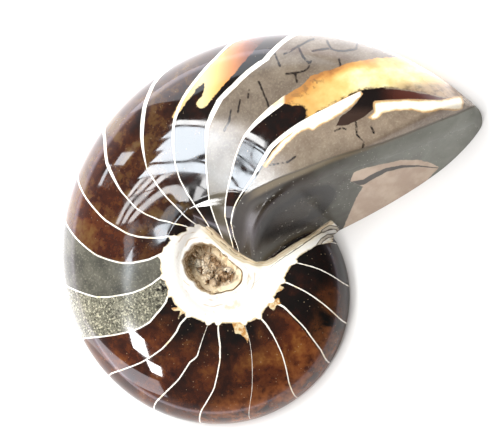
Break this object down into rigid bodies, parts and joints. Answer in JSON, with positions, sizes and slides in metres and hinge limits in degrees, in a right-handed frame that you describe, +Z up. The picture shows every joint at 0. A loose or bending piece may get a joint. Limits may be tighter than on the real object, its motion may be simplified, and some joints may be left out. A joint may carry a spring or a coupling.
{
  "type": "fossil nautilus shell half",
  "caption": "Polished half of a fossil nautilus: a domed coiled shell with a ground end and crystal-lined navel, lying on its flat sawn face.",
  "frame": {"origin": "under the middle of the object's box, on the flat sawn face it lies on", "axes": "+Z up, away from the sawn face; +X from the back of the coil to the tip of the ground end; the whorl grows clockwise seen from above"},
  "size_m": [0.1262, 0.0964, 0.026],
  "materials": {
    "polished_fossil": "polished to a high gloss",
    "calcite_crystals": "rough, natural crystal"
  },
  "bodies": {
    "root": {"nautilus_half": "polished_fossil", "umbilical_crystals": "calcite_crystals"}
  },
  "joints": []
}
